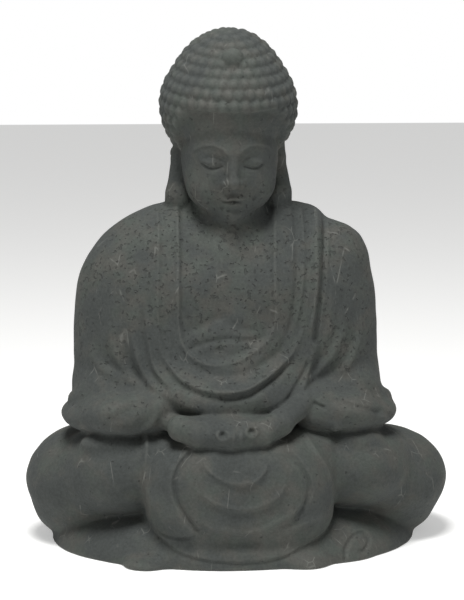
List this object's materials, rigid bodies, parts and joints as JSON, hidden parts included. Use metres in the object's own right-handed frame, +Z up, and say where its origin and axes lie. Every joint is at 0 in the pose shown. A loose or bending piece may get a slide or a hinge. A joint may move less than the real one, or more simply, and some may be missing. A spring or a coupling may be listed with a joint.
{
  "type": "seated buddha statue",
  "caption": "Garden statue of a Buddha seated cross-legged in meditation, hands in the lap, carved in one piece from dark pitted stone.",
  "frame": {"origin": "middle of the bounding box, on the ground", "axes": "+Z up, the figure faces -Y, +X to a viewer's right"},
  "size_m": [0.329, 0.2072, 0.4],
  "materials": {
    "stone": "rough, pitted, unpolished"
  },
  "bodies": {
    "root": {"seated_buddha": "stone"}
  },
  "joints": []
}
